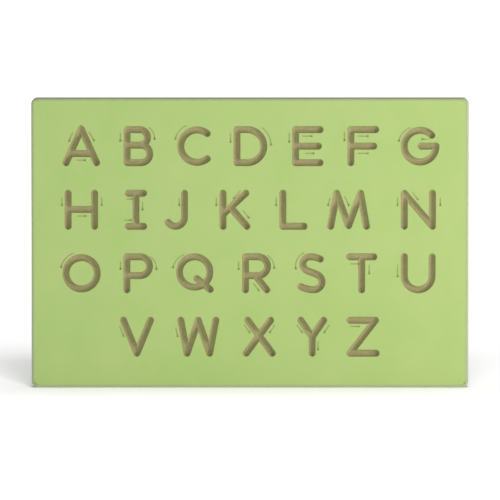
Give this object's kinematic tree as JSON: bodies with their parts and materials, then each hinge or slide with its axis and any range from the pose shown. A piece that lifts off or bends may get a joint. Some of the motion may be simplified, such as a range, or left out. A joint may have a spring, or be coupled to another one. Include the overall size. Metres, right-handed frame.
{
  "type": "letter tracing board",
  "caption": "Flat rectangular green layered board with rounded corners and the capital letters cut into its front as round-ended tracing grooves.",
  "frame": {"origin": "middle of the long lower edge that the board stands on, halfway through its thickness", "axes": "+X along the lines of letters in reading direction, +Z towards the tops of the letters, the lettered front faces -Y"},
  "size_m": [0.3, 0.012, 0.1991],
  "materials": {
    "green_sheet": "satin light green on the faces, brown fibreboard where it is cut",
    "green_edging": "satin light green edge band",
    "fibreboard": "raw medium density fibreboard, brown"
  },
  "bodies": {
    "root": {"core_board": "fibreboard", "front_face_sheet": "green_sheet", "counter_a": "green_sheet", "counter_b_upper": "green_sheet", "counter_b_lower": "green_sheet", "counter_d": "green_sheet", "counter_o": "green_sheet", "counter_p": "green_sheet", "counter_q": "green_sheet", "counter_r": "green_sheet", "back_face_sheet": "green_sheet", "edge_band": "green_edging"}
  },
  "joints": []
}
